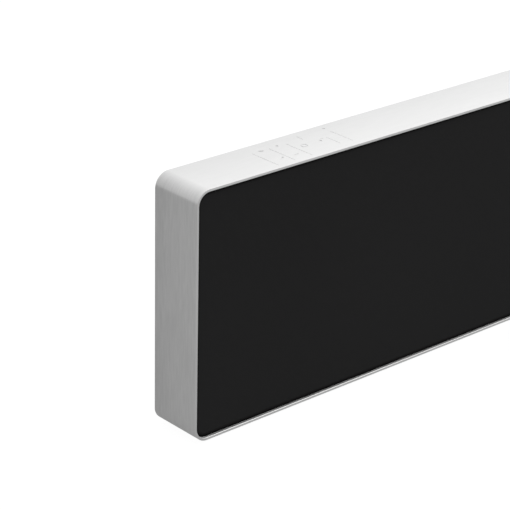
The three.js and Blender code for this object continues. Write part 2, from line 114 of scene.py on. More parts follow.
def corner_stations(low, high, radius, steps=24):
    """Stations round a rounded rectangle in the XZ plane: (centre x, centre z, cosine, sine)."""
    centres = (
        (high.x - radius, high.z - radius),
        (low.x + radius, high.z - radius),
        (low.x + radius, low.z + radius),
        (high.x - radius, low.z + radius),
    )
    stations = []
    for corner, (x, z) in enumerate(centres):
        for step in range(steps + 1):
            angle = math.pi / 2 * (corner + step / steps)
            stations.append((x, z, math.cos(angle), math.sin(angle)))
    return stations


def circle_stations(steps=96):
    """Stations round a circle about the Y axis."""
    angles = [2 * math.pi * step / steps for step in range(steps)]
    return [(0, 0, math.cos(angle), math.sin(angle)) for angle in angles]


def sweep(bm, stations, section, closed=True):
    """Carries a section of (reach, y) pairs round the stations. An open section's two ends are
    capped."""
    rings = []
    for x, z, cosine, sine in stations:
        rings.append([bm.verts.new((x + r * cosine, y, z + r * sine)) for r, y in section])
    count = len(section)
    spans = count if closed else count - 1
    for index, ring in enumerate(rings):
        following = rings[(index + 1) % len(rings)]
        for k in range(spans):
            j = (k + 1) % count
            bm.faces.new((ring[k], ring[j], following[j], following[k]))
    if not closed:
        bm.faces.new([ring[0] for ring in rings])
        bm.faces.new([ring[-1] for ring in reversed(rings)])
    return bm


def rounded_section(points, steps=3):
    """Rounds the corners of a closed section. A point is (reach, y, radius of its corner)."""
    places = [Vector(point[:2]) for point in points]
    rounded = []
    for index, (_, _, radius) in enumerate(points):
        corner = places[index]
        before = (places[index - 1] - corner).normalized()
        after = (places[(index + 1) % len(places)] - corner).normalized()
        start, end = corner + before * radius, corner + after * radius
        centre = corner + (before + after) * radius
        for step in range(steps + 1):
            on_chord = start.lerp(end, step / steps)
            rounded.append(tuple(centre + (on_chord - centre).normalized() * radius))
    return rounded


def turned(name, section, closed=True, steps=96, angle=35.0):
    """A mesh of revolution about the Y axis. The section's numbers are millimetres."""
    metres = [(r * MM, y * MM) for r, y in section]
    return mesh_from(sweep(bmesh.new(), circle_stations(steps), metres, closed), name, angle)


def arc(centre_r, centre_y, radius_r, radius_y, start, end, steps=8):
    """Points of an ellipse in a section. The angles are in degrees: 0 is outward, 90 is +Y."""
    points = []
    for step in range(steps + 1):
        angle = math.radians(start + (end - start) * step / steps)
        across = centre_r + radius_r * math.cos(angle)
        points.append((across, centre_y + radius_y * math.sin(angle)))
    return points


# ---------------------------------------------------------------------------- materials


class Look:
    """One node material, with helpers that add a node and wire it up."""

    def __init__(self, name, color, roughness, metallic=0.0):
        self.material = bpy.data.materials.new(name)
        self.material.use_nodes = True
        self.tree = self.material.node_tree
        self.bsdf = self.tree.nodes["Principled BSDF"]
        self.bsdf.inputs["Base Color"].default_value = (*color, 1)
        self.bsdf.inputs["Roughness"].default_value = roughness
        self.bsdf.inputs["Metallic"].default_value = metallic
        self.material.diffuse_color = (*color, 1)
        self.place = self.node("ShaderNodeTexCoord").outputs["Object"]

    def node(self, kind, inputs=None, **settings):
        node = self.tree.nodes.new(kind)
        for key, value in settings.items():
            setattr(node, key, value)
        for key, value in (inputs or {}).items():
            if isinstance(value, bpy.types.NodeSocket):
                self.tree.links.new(value, node.inputs[key])
            else:
                node.inputs[key].default_value = value
        return node

    def math(self, operation, first, second=0.0):
        return self.node("ShaderNodeMath", {0: first, 1: second}, operation=operation).outputs[0]

    def vector(self, operation, first, second=(0, 0, 0)):
        node = self.node("ShaderNodeVectorMath", {0: first, 1: second}, operation=operation)
        return node.outputs["Vector"]

    def axis(self, name):
        return self.node("ShaderNodeSeparateXYZ", {"Vector": self.place}).outputs[name]

    def noise(self, scale, detail=3.0, roughness=0.55):
        """Noise with one scale per axis, so that a small scale draws it out into streaks."""
        stretched = self.node("ShaderNodeMapping", {"Vector": self.place, "Scale": scale})
        inputs = {"Vector": stretched.outputs["Vector"], "Scale": 1.0}
        inputs.update({"Detail": detail, "Roughness": roughness})
        return self.node("ShaderNodeTexNoise", inputs).outputs["Fac"]

    def spread(self, value, low, high, start=0.3, end=0.7):
        """A value between start and end spread over low to high."""
        inputs = {"Value": value, "From Min": start, "From Max": end, "To Min": low, "To Max": high}
        return self.node("ShaderNodeMapRange", inputs).outputs["Result"]

    def blend(self, factor, first, second):
        node = self.node("ShaderNodeMix", {0: factor}, data_type="RGBA")
        for socket, color in ((node.inputs[6], first), (node.inputs[7], second)):
            if isinstance(color, bpy.types.NodeSocket):
                self.tree.links.new(color, socket)
            else:
                socket.default_value = (*color, 1)
        return node.outputs[2]

    def bump(self, height, depth, normal=None):
        inputs = {"Height": height, "Strength": 1.0, "Distance": depth}
        if normal is not None:
            inputs["Normal"] = normal
        return self.node("ShaderNodeBump", inputs).outputs["Normal"]

    def set(self, socket, value):
        self.tree.links.new(value, self.bsdf.inputs[socket])

    def fix(self, socket, value):
        self.bsdf.inputs[socket].default_value = value


def shaded(color, factor):
    return tuple(min(1.0, channel * factor) for channel in color)


def grained(name, color, roughness, metallic=0.0, grain=(900, 900, 900), depth=0.02, vary=0.12):
    """A plain finish with fine grain: it varies the colour, the roughness and the surface."""
    look = Look(name, color, roughness, metallic)
    fine = look.noise(grain)
    broad = look.noise((14, 14, 14), detail=2.0)
    look.set("Base Color", look.blend(broad, shaded(color, 1 - vary), shaded(color, 1 + vary)))
    look.set("Roughness", look.spread(fine, roughness - 0.07, roughness + 0.07))
    look.set("Normal", look.bump(fine, depth * MM))
    return look.material


def from_the_core(look):
    """The vector to a point from the nearest point of the box that the band's corners turn
    about. Its length is the point's reach."""
    reach = Vector((BAND_CORNER, -1, BAND_CORNER))
    core_low, core_high = BAND_LOW + reach, BAND_HIGH - reach
    nearest = look.vector("MINIMUM", look.place, tuple(core_high))
    nearest = look.vector("MAXIMUM", nearest, tuple(core_low))
    return look.vector("SUBTRACT", look.place, nearest)


def across_the_brushing(look, outward, normal):
    """The direction in the surface at right angles to brush lines that run round the band."""
    along = look.vector("CROSS_PRODUCT", look.vector("NORMALIZE", outward), (0, 1, 0))
    return look.vector("CROSS_PRODUCT", normal, along)


# Painted shade: the band's inside behind the cloth gets this near black, so that the shadow gap
# round the cloth reads dark.
PAINTED_GAP_SHADE = (0.03, 0.03, 0.03)


def brushed_aluminium():
    """Clear-anodised aluminium, brushed along the band, so that fine streaks run round the body.
    The streaks show more on the ends than on the top, and the colour is painted lighter towards the
    front as painted light. The inside is blasted matt instead, and behind the cloth it is painted
    near black: painted shade for the shadow gap round the cloth."""
    dark, light = (0.70, 0.70, 0.70), (0.85, 0.85, 0.848)
    look = Look("band_aluminium", light, 0.33, 1.0)
    outward = from_the_core(look)
    normal = look.node("ShaderNodeNewGeometry").outputs["Normal"]
    sideways = look.node("ShaderNodeSeparateXYZ", {"Vector": normal}).outputs["X"]
    on_the_ends = look.spread(look.math("ABSOLUTE", sideways), 0.3, 1.0, 0.2, 0.9)
    hair = look.noise((9, 3200, 9), detail=2.0)
    streak = look.noise((60, 520, 60), detail=3.0, roughness=0.6)
    cloud = look.noise((16, 60, 16), detail=2.0)
    streaks = look.math("MULTIPLY", streak, 0.65)
    mixed = look.math("ADD", streaks, look.math("MULTIPLY", cloud, 0.35))
    mottle = look.math("MULTIPLY", look.spread(mixed, -0.3, 0.3, 0.35, 0.65), on_the_ends)
    # Painted light: the finish is painted lighter towards the front and darker towards the back,
    # standing in for how the light falls on the band. The colour below mixes this painted light
    # with the real brushed streaks.
    forward = look.spread(look.axis("Y"), 0.78, 0.2, BAND_LOW.y, BAND_HIGH.y)
    brushed = look.blend(look.math("ADD", mottle, forward), dark, light)
    reach = look.node("ShaderNodeVectorMath", {0: outward}, operation="LENGTH").outputs["Value"]
    inner = BAND_CORNER - BAND_WALL
    inside = look.math("LESS_THAN", reach, inner + 0.1 * MM)
    hidden = look.math("GREATER_THAN", look.axis("Y"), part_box("grille_cloth")[0].y)
    # Painted shade: inside the band and behind the cloth's front the colour is near black, standing
    # in for the shade in the gap.
    look.set("Base Color", look.blend(look.math("MULTIPLY", inside, hidden), brushed, PAINTED_GAP_SHADE))
    matt = look.spread(reach, 0.05, 0.0, inner + 0.1 * MM, inner + 0.4 * MM)
    polish = look.spread(look.math("ADD", hair, streak), 0.30, 0.37, 0.7, 1.3)
    look.set("Roughness", look.math("ADD", matt, polish))
    look.set("Normal", look.bump(hair, 0.003 * MM))
    look.fix("Anisotropic", 0.75)
    look.set("Tangent", across_the_brushing(look, outward, normal))
    return look.material


THREAD = 0.9 * MM
# The stretch of reach near the cloth's edge over which its colour is painted darker: painted shade
# of the band's lip.
CLOTH_PAINTED_SHADE_REACH = (5.2 * MM, 7.0 * MM)


def grille_weave():
    """Tight black acoustic cloth: two sets of threads cross at right angles. Near its edge its
    colour is painted darker over a stretch of reach: painted shade, standing in for the shade along
    the band's lip."""
    color = (0.0157, 0.0157, 0.0160)
    look = Look("grille_cloth", color, 0.92)
    waves = []
    for axis in ("X", "Z"):
        turns = look.math("MULTIPLY", look.axis(axis), math.pi / THREAD)
        waves.append(look.math("ABSOLUTE", look.math("SINE", turns)))
    crossing = look.math("MULTIPLY", waves[0], waves[1])
    fuzz = look.noise((2600, 2600, 2600), detail=2.0)
    cloud = look.noise((7, 7, 7), detail=1.0)
    open_weave = look.blend(cloud, shaded(color, 0.93), shaded(color, 1.08))
    outward = from_the_core(look)
    reach = look.node("ShaderNodeVectorMath", {0: outward}, operation="LENGTH").outputs["Value"]
    # Painted shade: the cloth's colour goes nearly black towards its edge, standing in for the
    # shade along the band's lip.
    painted_edge_shade = look.spread(reach, 0.0, 0.85, *CLOTH_PAINTED_SHADE_REACH)
    look.set("Base Color", look.blend(painted_edge_shade, open_weave, (0.001, 0.001, 0.001)))
    look.set("Roughness", look.spread(fuzz, 0.86, 0.98))
    look.set("Normal", look.bump(fuzz, 0.02 * MM, look.bump(crossing, 0.10 * MM)))
    look.fix("Specular IOR Level", 0.06)
    look.fix("Sheen Weight", 0.02)
    look.fix("Sheen Roughness", 0.6)
    return look.material


BOARD_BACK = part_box("heat_sink")[0].y - GAP


def circuit_board():
    """Green solder resist over copper tracks. What stands up from a board is dark or metal."""
    green, track = (0.009, 0.06, 0.03), (0.018, 0.115, 0.055)
    look = Look("circuit_board", green, 0.35)
    scaled = look.node("ShaderNodeMapping", {"Vector": look.place, "Scale": (260, 260, 260)})
    maze = look.node("ShaderNodeTexVoronoi", {"Vector": scaled.outputs[0], "Scale": 1.0})
    maze.distance = "MANHATTAN"
    tracks = look.spread(maze.outputs["Distance"], 0, 1, 0.35, 0.45)
    lacquer = look.blend(tracks, green, track)
    grain = look.noise((1200, 1200, 1200))
    raised = look.blend(grain, (0.02, 0.02, 0.022), (0.05, 0.05, 0.055))
    standing = look.math("GREATER_THAN", look.axis("Y"), BOARD_BACK + 0.05 * MM)
    low_down = look.math("LESS_THAN", look.axis("Z"), BAND_HIGH.z - 20 * MM)
    look.set("Base Color", look.blend(look.math("MULTIPLY", standing, low_down), lacquer, raised))
    look.set("Roughness", look.spread(grain, 0.3, 0.42))
    look.set("Normal", look.bump(tracks, 0.03 * MM))
    return look.material


def make_materials():
    """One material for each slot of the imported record."""
    fine, coarse = (1500, 1500, 1500), (700, 700, 700)
    return {
        "band_aluminium": brushed_aluminium(),
        "grille_cloth": grille_weave(),
        "circuit_board": circuit_board(),
        "black_plastic": grained("black_plastic", (0.02, 0.02, 0.022), 0.55, depth=0.03),
        "cover_plastic": grained("cover_plastic", (0.024, 0.024, 0.026), 0.6, 0, fine, 0.05),
        "tray_plastic": grained("tray_plastic", (0.014, 0.014, 0.015), 0.5, 0, fine, 0.03),
        "button_plastic": grained("button_plastic", (0.06, 0.06, 0.065), 0.42),
        "plated_magnet": grained("plated_magnet", (0.62, 0.62, 0.63), 0.28, 1.0),
        "cast_frame": grained("cast_frame", (0.055, 0.056, 0.06), 0.46, 0, coarse, 0.05),
        "magnet_steel": grained("magnet_steel", (0.42, 0.43, 0.45), 0.36, 1.0),
        "surround_rubber": grained("surround_rubber", (0.016, 0.016, 0.017), 0.42, depth=0.01),
        "cone_paper": grained("cone_paper", (0.05, 0.05, 0.053), 0.7, 0, (500, 500, 500), 0.08),
        "dome_silk": grained("dome_silk", (0.03, 0.03, 0.035), 0.55, 0, (2500, 2500, 2500), 0.02),
        "screw_steel": grained("screw_steel", (0.16, 0.16, 0.17), 0.34, 1.0),
        "hanger_steel": grained("hanger_steel", (0.5, 0.5, 0.5), 0.33, 1.0, (40, 900, 900)),
        "heat_sink_aluminium": grained(
            "heat_sink_aluminium", (0.55, 0.55, 0.56), 0.42, 1.0, (900, 900, 30)
        ),
        "socket_shell": grained("socket_shell", (0.6, 0.6, 0.6), 0.3, 1.0),
        "light_pipe": grained("light_pipe", (0.88, 0.88, 0.87), 0.3, vary=0.04),
        "ribbon_plastic": grained("ribbon_plastic", (0.62, 0.6, 0.55), 0.4, 0, (60, 2500, 60)),
        "cable_sheath": grained("cable_sheath", (0.018, 0.018, 0.018), 0.7),
        "foot_rubber": grained("foot_rubber", (0.02, 0.02, 0.02), 0.85, 0, coarse, 0.06),
    }


MATERIALS = make_materials()


def dress_cad_nodes():
    """Gives each CAD node its slot's material, and breaks its hard edges."""
    slots = {row["node"]: row["material_slot"] for row in frame["record"]["subparts"]}
    for name, node in frame["nodes"].items():
        node.data.materials.clear()
        node.data.materials.append(MATERIALS[slots[name]])
        weld = node.modifiers.new("weld", "WELD")
        weld.merge_threshold = 1e-6
        bevel = node.modifiers.new("bevel", "BEVEL")
        bevel.width = CAD_EDGE
        bevel.segments = 2
        bevel.limit_method = "ANGLE"
        bevel.angle_limit = math.radians(40)
        weigh_normals(node)


# ---------------------------------------------------------------------------- band

# Places on the top are from the band's left end and from its front edge.
KEYS_LEFT = 68.4 * MM
KEYS_PITCH = 14.1 * MM
KEYS_LAST = 134.4 * MM
LONG_LINE = (4.0 * MM, 28.5 * MM)
FOURTH_LINE = (28.0 * MM, 34.0 * MM)
FIFTH_LINE = (9.0 * MM, 21.5 * MM)
LAST_LINE = (7.0 * MM, 28.0 * MM)
NEAR_ROW = 11.0 * MM
MIDDLE_ROW = 19.3 * MM
FAR_ROW = 28.3 * MM
REAR_ROW = 34.3 * MM
MARK_LINE = 0.28 * MM
SIGN_LINE = 0.55 * MM
MARK_DEPTH = 0.15 * MM
SIGN_DEPTH = 0.25 * MM
TRIANGLE = 2.2 * MM
RING = 2.4 * MM
DOT = 1.0 * MM
SMALL_DOT = 0.8 * MM
SLANT_HALF = 2.5 * MM
DASH_HALF = 1.5 * MM
LIGHT_ROOM = 0.04 * MM


class Marks:
    """The cutters for the engraved touch marks, as closed prisms through the band's top."""

    def __init__(self):
        self.bm = bmesh.new()
        self.depth = MARK_DEPTH

    def ring_of(self, outline, z):
        corner = BAND_LOW
        return [self.bm.verts.new((corner.x + x, corner.y + y, z)) for x, y in outline]

    def levels(self):
        return BAND_HIGH.z - self.depth, BAND_HIGH.z + 1 * MM

    def walls(self, first, second):
        count = len(first)
        for k in range(count):
            j = (k + 1) % count
            self.bm.faces.new((first[k], first[j], second[j], second[k]))

    def prism(self, outline):
        low, high = (self.ring_of(outline, z) for z in self.levels())
        self.bm.faces.new(list(reversed(low)))
        self.bm.faces.new(high)
        self.walls(low, high)

    def bar(self, start, end, width=MARK_LINE, steps=5):
        """A line with round ends between two places."""
        start, end = Vector(start), Vector(end)
        heading = math.atan2(end.y - start.y, end.x - start.x)
        outline = []
        for centre, turn in ((end, heading - math.pi / 2), (start, heading + math.pi / 2)):
            for step in range(steps + 1):
                angle = turn + math.pi * step / steps
                outline.append(centre + Vector((math.cos(angle), math.sin(angle))) * width / 2)
        self.prism(outline)

    def circle(self, centre, radius, sides, turn=0.0):
        x, y = centre
        angles = [turn + 2 * math.pi * k / sides for k in range(sides)]
        return [(x + radius * math.cos(a), y + radius * math.sin(a)) for a in angles]

    def dot(self, centre, radius, sides=20, turn=0.0):
        self.prism(self.circle(centre, radius, sides, turn))

    def ring(self, centre, radius, sides=32):
        outer, inner = (self.circle(centre, r, sides) for r in (radius, radius - SIGN_LINE))
        low, high = self.levels()
        corners = ((outer, low), (outer, high), (inner, high), (inner, low))
        loops = [self.ring_of(outline, z) for outline, z in corners]
        for k in range(4):
            self.walls(loops[k], loops[(k + 1) % 4])

    def finish(self):
        bmesh.ops.recalc_face_normals(self.bm, faces=self.bm.faces)
        mesh = bpy.data.meshes.new("touch_mark_cutter")
        self.bm.to_mesh(mesh)
        self.bm.free()
        return mesh


def touch_marks():
    marks = Marks()
    middle = [KEYS_LEFT + (key + 0.5) * KEYS_PITCH for key in range(4)]
    lines = [(KEYS_LEFT + key * KEYS_PITCH, LONG_LINE) for key in range(3)]
    lines.append((KEYS_LEFT + 3 * KEYS_PITCH, FOURTH_LINE))
    lines.append((KEYS_LEFT + 4 * KEYS_PITCH, FIFTH_LINE))
    lines.append((KEYS_LAST, LAST_LINE))
    for x, (front, back) in lines:
        marks.bar((x, front), (x, back))
    marks.depth = SIGN_DEPTH
    marks.dot((middle[0], FAR_ROW), TRIANGLE, 3)
    slant = Vector((math.cos(math.pi / 5), math.sin(math.pi / 5))) * SLANT_HALF
    centre = Vector((middle[0] + 2 * MM, NEAR_ROW))
    marks.bar(centre - slant, centre + slant, 2 * SIGN_LINE)
    marks.dot((middle[1], FAR_ROW + 1 * MM), DOT)
    marks.bar((middle[1] - DASH_HALF, NEAR_ROW), (middle[1] + DASH_HALF, NEAR_ROW), SIGN_LINE)
    marks.ring((middle[2], MIDDLE_ROW), RING)
    marks.dot((middle[3], MIDDLE_ROW), DOT)
    marks.dot((KEYS_LAST, REAR_ROW), SMALL_DOT)
    return marks.finish()


def light_well():
    """The hole for the status light, right through the top."""
    low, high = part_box("status_light")
    radius = (high.x - low.x) / 2 + LIGHT_ROOM
    bm = bmesh.new()
    bmesh.ops.create_cone(
        bm,
        cap_ends=True,
        segments=32,
        radius1=radius,
        radius2=radius,
        depth=6 * MM,
        matrix=Matrix.Translation((low + high) / 2),
    )
    mesh = bpy.data.meshes.new("light_well_cutter")
    bm.to_mesh(mesh)
    bm.free()
    return mesh


def carve(mesh, cutters):
    """The mesh with each cutter's volume taken out of it."""
    scene = bpy.context.scene
    target = bpy.data.objects.new("carving", mesh)
    scene.collection.objects.link(target)
    tools = []
    for cutter in cutters:
        tool = bpy.data.objects.new(cutter.name, cutter)
        scene.collection.objects.link(tool)
        modifier = target.modifiers.new("cut", "BOOLEAN")
        modifier.operation = "DIFFERENCE"
        modifier.solver = "EXACT"
        modifier.object = tool
        tools.append(tool)
    depsgraph = bpy.context.evaluated_depsgraph_get()
    carved = bpy.data.meshes.new_from_object(target.evaluated_get(depsgraph), depsgraph=depsgraph)
    for leftover in (target, *tools):
        bpy.data.objects.remove(leftover)
    return shade(carved)


def build_band():
    """The bent aluminium band, with two ribs inside, fine edge breaks and the engraved marks."""
    front, back = BAND_LOW.y, BAND_HIGH.y
    outside = BAND_CORNER
    inside = BAND_CORNER - BAND_WALL
    rib = inside - LEDGE_REACH
    front_rib = BAFFLE_BACK + GAP
    back_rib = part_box("rear_cover")[0].y - GAP - LEDGE_PLATE
    corners = [
        (outside, front, OUTER_EDGE),
        (outside, back, OUTER_EDGE),
        (inside, back, INNER_EDGE),
    ]
    for near in (back_rib, front_rib):
        far = near + LEDGE_PLATE
        corners += [(inside, far), (rib, far), (rib, near), (inside, near)]
    corners.append((inside, front, INNER_EDGE))
    corners = [point if len(point) == 3 else (*point, RIB_EDGE) for point in corners]
    section = rounded_section(corners)
    stations = corner_stations(BAND_LOW, BAND_HIGH, BAND_CORNER)
    shell = mesh_from(sweep(bmesh.new(), stations, section), "band_shell")
    mesh = carve(shell, [touch_marks(), light_well(), touch_board_room()])
    weigh_normals(new_piece("band_shell", mesh, "cabinet", "band_aluminium", ("band",)))


NOTCH_BESIDE = 6 * MM
NOTCH_THROUGH = 12 * MM
NOTCH_BELOW = 8 * MM
NOTCH_SKIN = 0.02 * MM


def touch_board_room():
    """The notch in the front rib that leaves room for the touch board under the top. It stops
    a hair below the inside of the top, so that the top itself is not touched."""
    low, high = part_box("touch_board")
    ceiling = BAND_HIGH.z - BAND_WALL
    bm = bmesh.new()
    bmesh.ops.create_cube(bm, size=1)
    across = high.x - low.x + 2 * NOTCH_BESIDE
    size = Vector((across, NOTCH_THROUGH, 2 * (ceiling - low.z) + NOTCH_BELOW))
    middle = Vector(((low.x + high.x) / 2, BAFFLE_BACK, ceiling - size.z / 2 - NOTCH_SKIN))
    for vert in bm.verts:
        vert.co = middle + Vector((vert.co.x * size.x, vert.co.y * size.y, vert.co.z * size.z))
    mesh = bpy.data.meshes.new("touch_board_room_cutter")
    bm.to_mesh(mesh)
    bm.free()
    return mesh


# ---------------------------------------------------------------------------- grille cloth


def build_cloth():
    """Cloth pulled tight over the grille: a flat front that rolls over a soft edge into a skirt."""
    low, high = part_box("grille_cloth")
    reach = BAND_CORNER - (low.x - BAND_LOW.x)
    inner = reach - CLOTH_THICK
    section = [(inner - CLOTH_ROLL + CLOTH_THICK, low.y + CLOTH_THICK)]
    section += [(inner, low.y + CLOTH_DROP + CLOTH_THICK), (inner, high.y), (reach, high.y)]
    steps = 8
    for step in range(steps + 1):
        angle = math.pi / 2 * (1 - step / steps)
        across = reach - CLOTH_ROLL + CLOTH_ROLL * math.sin(angle)
        section.append((across, low.y + CLOTH_DROP * (1 - math.cos(angle))))
    stations = corner_stations(BAND_LOW, BAND_HIGH, BAND_CORNER)
    mesh = mesh_from(sweep(bmesh.new(), stations, section, closed=False), "grille_cloth_sheet")
    piece = new_piece("grille_cloth_sheet", mesh, "grille", "grille_cloth", ("grille_cloth",))
    weigh_normals(piece)


# ---------------------------------------------------------------------------- drivers

# The numbers of the turned sections are in millimetres. Their y runs from the model's middle.
FLANGE_FRONT = -10.3
RIM_BACK = -10.6
BAFFLE_FACE = -8.5
BASKET = 1.5
PAPER = 0.6
SCREW_INSET = 2.8
WOOFER = {"flange": 52, "throat": 46, "cone": 37.5, "roll": 44, "former": 13.6}
WOOFER.update({"magnet": 32, "plate": 12, "deep": 7, "floor": 2})
MID = {"flange": 36, "throat": 31, "cone": 23.5, "roll": 29, "former": 9.6}
MID.update({"magnet": 22, "plate": 11, "deep": 5, "floor": 2})


def middle_of(node):
    """The middle of a node's box in X and Z. The part of a driver is turned about this line."""
    low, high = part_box(node)
    return Vector(((low.x + high.x) / 2, 0, (low.z + high.z) / 2))


def basket_section(d):
    neck = d["throat"] - 6
    soft = 0.4
    return [
        (d["former"] + 4, d["floor"]),
        (neck, d["floor"]),
        (d["throat"] - BASKET, BAFFLE_FACE),
        (d["throat"] - BASKET, FLANGE_FRONT + soft),
        (d["throat"] - BASKET + soft, FLANGE_FRONT),
        (d["flange"] - soft, FLANGE_FRONT),
        (d["flange"], FLANGE_FRONT + soft),
        (d["flange"], FLANGE_FRONT + BASKET),
        (d["throat"], FLANGE_FRONT + BASKET),
        (d["throat"], BAFFLE_FACE + 1),
        (neck + BASKET, d["floor"] + BASKET),
        (d["former"] + 4, d["floor"] + BASKET),
    ]


def surround_section(d):
    """A half-round roll of rubber between the cone's rim and the flange."""
    inner = d["cone"] + 0.6
    middle, radius = (inner + d["roll"]) / 2, (d["roll"] - inner) / 2
    face = RIM_BACK - PAPER
    front = arc(middle, face, radius, 0.52 * radius, 180, 360, 14)
    front.append((d["flange"] - 2, face))
    back = [(r, y + PAPER) for r, y in reversed(front)]
    return front + back


def cone_section(d):
    """A gently curved cone with a domed cap in front and the voice coil's former behind."""
    face = RIM_BACK - PAPER
    neck = face + d["deep"]
    cap = arc(0, neck, d["former"], 4, 270.4, 350, 10)
    flare = []
    for step in range(9):
        share = step / 8
        reach = d["former"] + 0.3 + (d["cone"] - 0.8 - d["former"]) * share
        flare.append((reach, neck - (neck - face) * share ** 1.25))
    front = cap + [(d["former"] + 0.1, neck - 0.2)] + flare + [(d["cone"], face)]
    back = [(d["cone"], face + PAPER), (d["former"], neck + 2 * PAPER)]
    back += [(d["former"], d["floor"] - 1), (d["former"] - PAPER, d["floor"] - 1)]
    back += [(d["former"] - PAPER, neck + PAPER)]
    return front + back + [(0.05, neck - 4 + PAPER)]


def magnet_section(radius, front, back, soft=0.6):
    section = [(0.05, front), (radius - soft, front), (radius, front + soft)]
    return section + [(radius, back - soft), (radius - soft, back), (0.05, back)]


def build_drivers(kind, dimensions, count):
    """The smooth turned pieces of one kind of driver. Pieces of a kind share their meshes."""
    front = dimensions["floor"] + BASKET + 0.3
    meshes = {
        "basket": turned(f"{kind}_basket_fine", basket_section(dimensions)),
        "surround": turned(f"{kind}_surround_fine", surround_section(dimensions), angle=50),
        "cone": turned(f"{kind}_cone_fine", cone_section(dimensions), closed=False, angle=40),
        "magnet": turned(
            f"{kind}_magnet_fine",
            magnet_section(dimensions["magnet"], front, front + dimensions["plate"]),
            closed=False,
        ),
    }
    slots = {"basket": "cast_frame", "surround": "surround_rubber"}
    slots.update({"cone": "cone_paper", "magnet": "magnet_steel"})
    for index in range(1, count + 1):
        for part, mesh in meshes.items():
            node = f"{kind}_{part}_{index}"
            body = f"{kind}_cone_{index}_body" if part == "cone" else "cabinet"
            place = middle_of(f"{kind}_magnet_{index}")
            new_piece(f"{node}_fine", mesh, body, slots[part], (node,), place)
        build_flange_screws(kind, index, dimensions)


def build_flange_screws(kind, index, dimensions):
    """Four button-headed screws hold a driver's flange to the baffle."""
    mesh = bpy.data.meshes.get("flange_screw") or turned(
        "flange_screw",
        [(0.7, -0.25), (0.75, -0.55), (1.5, -0.35), (2.0, 0.0), (2.0, 0.3), (0.7, 0.3)],
        steps=24,
    )
    middle = middle_of(f"{kind}_magnet_{index}")
    reach = (dimensions["flange"] - SCREW_INSET) * MM
    for corner in range(4):
        angle = math.pi / 4 + corner * math.pi / 2
        across, up = reach * math.cos(angle), reach * math.sin(angle)
        place = middle + Vector((across, FLANGE_FRONT * MM, up))
        name = f"{kind}_{index}_screw_{corner + 1}"
        new_piece(name, mesh, "cabinet", "screw_steel", (), place)


def build_tweeter():
    dome, flange, throat = 12.5, 22, 17
    end = FLANGE_FRONT + 14
    soft = 0.4
    plate = [(0.05, end - 4), (dome + 1.5, end - 4), (dome + 1.5, FLANGE_FRONT + 1.5)]
    plate += arc(dome + 3.2, FLANGE_FRONT + 1.5, 1.7, 1.5, 180, 270, 6)
    plate += [(flange - soft, FLANGE_FRONT), (flange, FLANGE_FRONT + soft)]
    plate += [(flange, FLANGE_FRONT + BASKET), (throat, FLANGE_FRONT + BASKET), (throat, end)]
    plate.append((0.05, end))
    base = FLANGE_FRONT + 3
    front = arc(0, base, dome, 4.5, 270.3, 360, 14)
    back = arc(0, base + PAPER, dome - PAPER, 4.5, 360, 270.3, 14)
    skin = front + [(dome, base + 3), (dome - PAPER, base + 3)] + back
    place = middle_of("tweeter_plate")
    plate_mesh = turned("tweeter_plate_fine", plate, closed=False)
    dome_mesh = turned("tweeter_dome_fine", skin, closed=False, angle=50)
    new_piece("tweeter_plate_fine", plate_mesh, "cabinet", "cast_frame", ("tweeter_plate",), place)
    new_piece(
        "tweeter_dome_fine", dome_mesh, "tweeter_dome_body", "dome_silk", ("tweeter_dome",), place
    )


def build_small_magnets():
    """Plated discs: four in the grille and four in the baffle, facing each other."""
    low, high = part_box("grille_magnet_1")
    half = (high.y - low.y) / 2 / MM
    section = magnet_section((high.z - low.z) / 2 / MM, -half, half, 0.15)
    mesh = turned("magnet_disc", section, closed=False, steps=48)
    for side, body in (("grille", "grille"), ("baffle", "cabinet")):
        for index in range(1, 5):
            node = f"{side}_magnet_{index}"
            low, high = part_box(node)
            new_piece(f"{node}_fine", mesh, body, "plated_magnet", (node,), (low + high) / 2)


# ---------------------------------------------------------------------------- back and underside


SOCKET_RADIUS = 1.25 * MM
SOCKET_DEEP = 1.2 * MM
# A few degrees, so that no corner of the socket falls exactly on an edge of the round head.
SOCKET_TURN = math.radians(4)


def build_rear_screws():
    """Low domed heads with a hexagonal socket. A mesh's own origin is at the back of its head."""
    low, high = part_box("rear_screw_1")
    head, shank, length = (high.z - low.z) / 2 / MM, 1.3, (high.y - low.y) / MM
    section = [(0.05, 0.0), (head - 1.2, 0.0), (head - 0.35, -0.15), (head, -0.45), (head, -0.7)]
    section += [(shank, -0.7), (shank, 0.6 - length), (shank - 0.5, -length), (0.05, -length)]
    shell = turned("rear_screw", section, closed=False, steps=48)
    bm = bmesh.new()
    bmesh.ops.create_cone(
        bm,
        cap_ends=True,
        segments=6,
        radius1=SOCKET_RADIUS,
        radius2=SOCKET_RADIUS,
        depth=SOCKET_DEEP,
        matrix=Matrix.Rotation(math.pi / 2, 4, "X") @ Matrix.Rotation(SOCKET_TURN, 4, "Z"),
    )
    socket = bpy.data.meshes.new("hex_socket_cutter")
    bm.to_mesh(socket)
    bm.free()
    mesh = carve(shell, [socket])
    for index in range(1, 7):
        node = f"rear_screw_{index}"
        low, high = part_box(node)
        place = ((low.x + high.x) / 2, high.y, (low.z + high.z) / 2)
        new_piece(f"{node}_fine", mesh, "cabinet", "screw_steel", (node,), place)


def socket_cup(name, node, radius, wall, floor, soft):
    """A thin-walled socket shell with round corners, open at the back. Its sizes are in
    millimetres."""
    low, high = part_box(node)
    inner, outer = (radius - wall) * MM, radius * MM
    rim = soft * MM
    section = [(inner, low.y + floor * MM), (inner, high.y - rim), (inner + rim, high.y)]
    section += [(outer - rim, high.y), (outer, high.y - rim), (outer, low.y)]
    stations = corner_stations(low, high, outer, 12)
    return mesh_from(sweep(bmesh.new(), stations, section, closed=False), name)


PIN_OFFSET = 4.3 * MM
PIN_ROOT = 1.0 * MM


